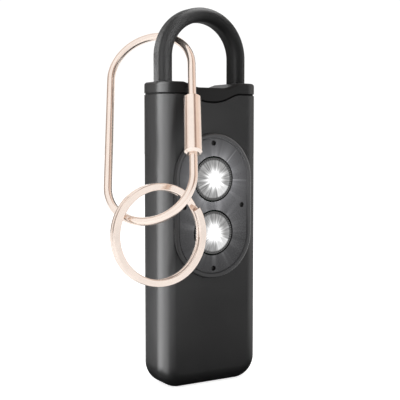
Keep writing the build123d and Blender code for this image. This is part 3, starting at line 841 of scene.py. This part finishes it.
# Strip boxes close to the object that show as gloss on the named nodes alone:
# name, centre, way it faces, width, height, brightness, spread in degrees, nodes
CASE = ("casing", "pull_cap")
LOOP = ("pull_loop",)
GLOSS = (
    ("strip_case", (-0.0333, -0.003, 0.07), (0.97, -0.1, 0), 0.015, 0.19, 25.0, 180.0, CASE),
    ("mid_case", (-0.0227, -0.0106, 0.07), (0.77, 0.63, 0), 0.0078, 0.19, 13.0, 180.0, CASE),
    ("fill_case", (-0.032, -0.115, 0.06), (0.16, 0.98, 0), 0.12, 0.17, 8.0, 180.0, ("casing",)),
    ("edge_case", (0.057, -0.027, 0.06), (-0.875, 0.485, 0), 0.03, 0.17, 3.0, 180.0,
     ("casing", "pull_cap", "window_bezel")),
    ("strip_loop", (-0.027, 0.0266, 0.122), (0.42, -0.9, -0.1), 0.022, 0.064, 2.4, 46.0, LOOP),
    ("fill_loop", (-0.035, -0.011, 0.128), (0.92, 0.3, -0.2), 0.035, 0.08, 6.0, 64.0, LOOP),
    ("arch_loop", (0.016, -0.008, 0.17), (-0.33, 0.15, -0.93), 0.05, 0.05, 15.0, 110.0, LOOP),
    ("face_loop", (-0.006, -0.039, 0.116), (-0.19, 0.98, 0.0), 0.01, 0.05, 12.0, 54.0, LOOP),
    ("front_loop", (0.07, -0.03, 0.105), (-0.9, 0.43, 0.0), 0.03, 0.06, 12.0, 180.0, LOOP),
)
# Light that the front lamps spill on what surrounds them:
# name, distance in front of the lens, power from the upper and the lower lamp, nodes
SPILL = (
    ("window_spill", 0.006, (0.028, 0.003), ("window_panel", "window_bezel")),
    ("casing_spill", 0.009, (0.018, 0.005), ("casing",)),
)
SPILL_RADIUS = 0.003             # of the point lamps that give it


def add_light(name, kind, place):
    """Light that no camera sees; returns it with its data."""
    data = bpy.data.lights.new(name, kind)
    light = bpy.data.objects.new(name, data)
    bpy.context.scene.collection.objects.link(light)
    light.location = place
    light.visible_camera = False
    return light, data


def add_box_light(name, place, facing, width, height, brightness):
    """Even rectangle of light that faces one way, of the given brightness."""
    light, data = add_light(name, "AREA", place)
    data.shape = "RECTANGLE"
    data.size = width
    data.size_y = height
    data.energy = brightness * pi * width * height
    light.rotation_euler = (-Vector(facing)).to_track_quat("Z", "Y").to_euler()
    return light, data


def shine_on(light, nodes):
    """Keeps a light to the named nodes."""
    shown_on = bpy.data.collections.new(light.name + "_shown_on")
    for node in nodes:
        shown_on.objects.link(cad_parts[node])
    light.light_linking.receiver_collection = shown_on


def add_softbox(name, direction, distance, width, height, brightness):
    """Area lamp that lights the object and shows in no reflection."""
    way = Vector(direction).normalized()
    light, _ = add_box_light(name, TARGET + way * distance, -way, width, height, brightness)
    light.visible_glossy = False


def add_strip(name, place, facing, width, height, brightness, spread, nodes):
    """Area lamp that shows only as gloss, on the named nodes."""
    light, data = add_box_light(name, place, facing, width, height, brightness)
    data.spread = radians(spread)
    light.visible_diffuse = False
    shine_on(light, nodes)


def add_spill(name, distance, powers, nodes):
    """Point lamp in front of each lens that lights only the named nodes."""
    for lamp, power in zip(LAMPS, powers):
        low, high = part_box("lamp_lens_" + lamp)
        centre = (low + high) / 2
        place = (centre.x, low.y - distance, centre.z)
        light, data = add_light(name + "_" + lamp, "POINT", place)
        data.energy = power
        data.shadow_soft_size = SPILL_RADIUS
        data.use_shadow = False
        light.visible_glossy = False
        shine_on(light, nodes)


FLOOR_SHADE = 0.85
FLOOR_SEEN = 0.8                 # glow of the floor for the camera, which makes it white
FLOOR_MIRRORED = 0.44            # glow of the floor in reflections
# Painted shade on the floor close to the alarm, which only reflections show:
# where it starts to fade and where it has gone, from the middle of the foot
PAINTED_SHADE_REACH = (0.026, 0.045)
PAINTED_FLOOR_SHADE = 0.06


def add_floor(stage):
    """White floor, with painted shade near the foot that only reflections show."""
    deselect()
    bpy.ops.mesh.primitive_plane_add(size=stage.floor_side, location=(0, 0, 0))
    floor = bpy.context.object
    floor.name = "floor"
    surface = bpy.data.materials.new("white_floor")
    surface.use_nodes = True
    surface.node_tree.nodes.clear()
    s = Shader(surface.node_tree)
    path = s.node("ShaderNodeLightPath").outputs
    mirrored = s.math("MAXIMUM", path["Is Glossy Ray"], path["Is Transmission Ray"])
    away = s.node("ShaderNodeVectorMath", {0: object_place(s)}, operation="LENGTH")
    near = s.ramp(away.outputs["Value"], *PAINTED_SHADE_REACH, 1.0, 0.0)
    mirrored_painted_shade = s.math("MULTIPLY", mirrored, near)
    mirror_glow = s.math("MULTIPLY", s.math("SUBTRACT", mirrored, mirrored_painted_shade), FLOOR_MIRRORED)
    camera_glow = s.math("MULTIPLY", path["Is Camera Ray"], FLOOR_SEEN)
    glow = s.math("ADD", camera_glow, mirror_glow)
    shade = s.mix(mirrored_painted_shade, grey(FLOOR_SHADE), grey(PAINTED_FLOOR_SHADE))
    diffuse = s.node("ShaderNodeBsdfDiffuse", {"Color": shade})
    white = s.node("ShaderNodeEmission", {"Color": grey(1), "Strength": glow})
    both = s.node("ShaderNodeAddShader")
    s.link(diffuse.outputs[0], both.inputs[0])
    s.link(white.outputs[0], both.inputs[1])
    s.node("ShaderNodeOutputMaterial", {"Surface": both.outputs[0]})
    floor.data.materials.append(surface)


# Tones of the studio that polished metal shows
WHITE = (0.98, 0.98, 0.98)
CREAM = (0.94, 0.88, 0.84)
TAN = (0.82, 0.68, 0.6)
BROWN = (0.27, 0.17, 0.13)
GREY = (0.34, 0.31, 0.29)
# Studio round the object: (turn from the camera towards the right, in degrees, tone).
# Level views see the walls, steep ones the ceiling with its dark gaps.
WALLS = (
    (-180, WHITE), (-165, WHITE), (-150, TAN), (-138, GREY), (-100, GREY), (-88, WHITE),
    (-15, WHITE), (36, CREAM), (50, WHITE), (90, WHITE), (118, TAN), (135, CREAM), (150, WHITE),
    (180, WHITE),
)
CEILING = (
    (-180, WHITE), (-150, WHITE), (-124, CREAM), (-111, BROWN), (-105, BROWN), (-94, CREAM),
    (-70, WHITE), (10, WHITE), (26, CREAM), (40, BROWN), (62, BROWN), (72, TAN), (100, TAN),
    (124, CREAM), (150, WHITE), (180, WHITE),
)
CEILING_START = (0.22, 0.5)      # rise of a view from level, where walls turn into ceiling
STUDIO_GLOW = 1.05               # strength of the backdrop and of what metal mirrors
AMBIENT_GLOW = 0.55              # strength of the world as light on the object


def tone_ramp(s, place, tones):
    """Colour ramp over a full turn, from (degrees, tone) pairs."""
    ramp = s.node("ShaderNodeValToRGB", {"Fac": place})
    points = ramp.color_ramp.elements
    points.remove(points[1])
    for number, (degrees, tone) in enumerate(tones):
        position = (degrees + 180) / 360
        point = points[0] if number == 0 else points.new(position)
        point.position = position
        point.color = four(tone)
    return ramp.outputs["Color"]


def add_world(scene, stage):
    """Plain light on the object; white backdrop for the camera, the studio for reflections."""
    world = bpy.data.worlds.new("studio")
    scene.world = world
    world.use_nodes = True
    world.node_tree.nodes.clear()
    s = Shader(world.node_tree)
    path = s.node("ShaderNodeLightPath").outputs
    direct = s.math("ADD", path["Is Camera Ray"], path["Is Glossy Ray"])
    share = s.math("MINIMUM", s.math("ADD", direct, path["Is Transmission Ray"]), 1.0)
    way = s.node("ShaderNodeTexCoord").outputs["Generated"]
    split = s.node("ShaderNodeSeparateXYZ", {"Vector": way})
    azimuth = s.math("ARCTAN2", split.outputs["Y"], split.outputs["X"])
    towards_camera = stage.camera_yaw - pi / 2
    turn = s.math("WRAP", s.math("SUBTRACT", azimuth, towards_camera), pi, -pi)
    place = s.ramp(turn, -pi, pi, smooth=False)
    steep = s.ramp(split.outputs["Z"], *CEILING_START)
    studio = s.mix(steep, tone_ramp(s, place, WALLS), tone_ramp(s, place, CEILING))
    mirrored = s.math("SUBTRACT", 1.0, path["Is Camera Ray"])
    shown = s.mix(mirrored, grey(1), studio)
    seen = s.node("ShaderNodeBackground", {"Color": shown, "Strength": STUDIO_GLOW})
    ambient = s.node("ShaderNodeBackground", {"Color": grey(1), "Strength": AMBIENT_GLOW})
    both = s.node("ShaderNodeMixShader", {"Fac": share})
    s.link(ambient.outputs[0], both.inputs[1])
    s.link(seen.outputs[0], both.inputs[2])
    s.node("ShaderNodeOutputWorld", {"Surface": both.outputs[0]})


def add_camera(scene, stage):
    """Camera at the photograph's place and angle."""
    data = bpy.data.cameras.new("camera")
    data.sensor_width = SENSOR_WIDTH
    data.lens = stage.focal_pixels * SENSOR_WIDTH / PHOTO_SIDE
    data.clip_start = 0.01
    camera = bpy.data.objects.new("camera", data)
    scene.collection.objects.link(camera)
    camera.location = stage.camera_place
    camera.rotation_euler = (pi / 2 - stage.camera_pitch, 0, stage.camera_yaw)
    scene.camera = camera


class ALARM_PT_panel(Panel):
    """Lists the alarm's pieces and their settings"""

    bl_idname = "ALARM_PT_panel"
    bl_label = "Safety alarm"
    bl_space_type = "VIEW_3D"
    bl_region_type = "UI"
    bl_category = "Alarm"

    def draw(self, context):
        for group, settings in SETTINGS.items():
            box = self.layout.box()
            for name in settings.__annotations__:
                box.prop(getattr(context.scene, group), name)
        for operator in OPERATORS:
            self.layout.operator(operator.bl_idname)


SETTINGS = {
    "alarm_case": AlarmCaseSettings,
    "alarm_window": AlarmWindowSettings,
    "alarm_metal": AlarmMetalSettings,
    "alarm_stage": AlarmStageSettings,
}
OPERATORS = (
    ALARM_OT_case,
    ALARM_OT_window,
    ALARM_OT_lamps,
    ALARM_OT_metal,
    ALARM_OT_inner,
    ALARM_OT_stage,
)


def register():
    for settings in SETTINGS.values():
        bpy.utils.register_class(settings)
    for group, settings in SETTINGS.items():
        setattr(bpy.types.Scene, group, PointerProperty(type=settings))
    for operator in OPERATORS:
        bpy.utils.register_class(operator)
    bpy.utils.register_class(ALARM_PT_panel)


def unregister():
    bpy.utils.unregister_class(ALARM_PT_panel)
    for operator in reversed(OPERATORS):
        bpy.utils.unregister_class(operator)
    for group, settings in SETTINGS.items():
        delattr(bpy.types.Scene, group)
        bpy.utils.unregister_class(settings)


def main():
    register()
    bpy.ops.alarm.case()
    bpy.ops.alarm.window()
    bpy.ops.alarm.lamps()
    bpy.ops.alarm.metal()
    bpy.ops.alarm.inner()
    bpy.ops.alarm.stage()


if __name__ == "__main__":
    main()
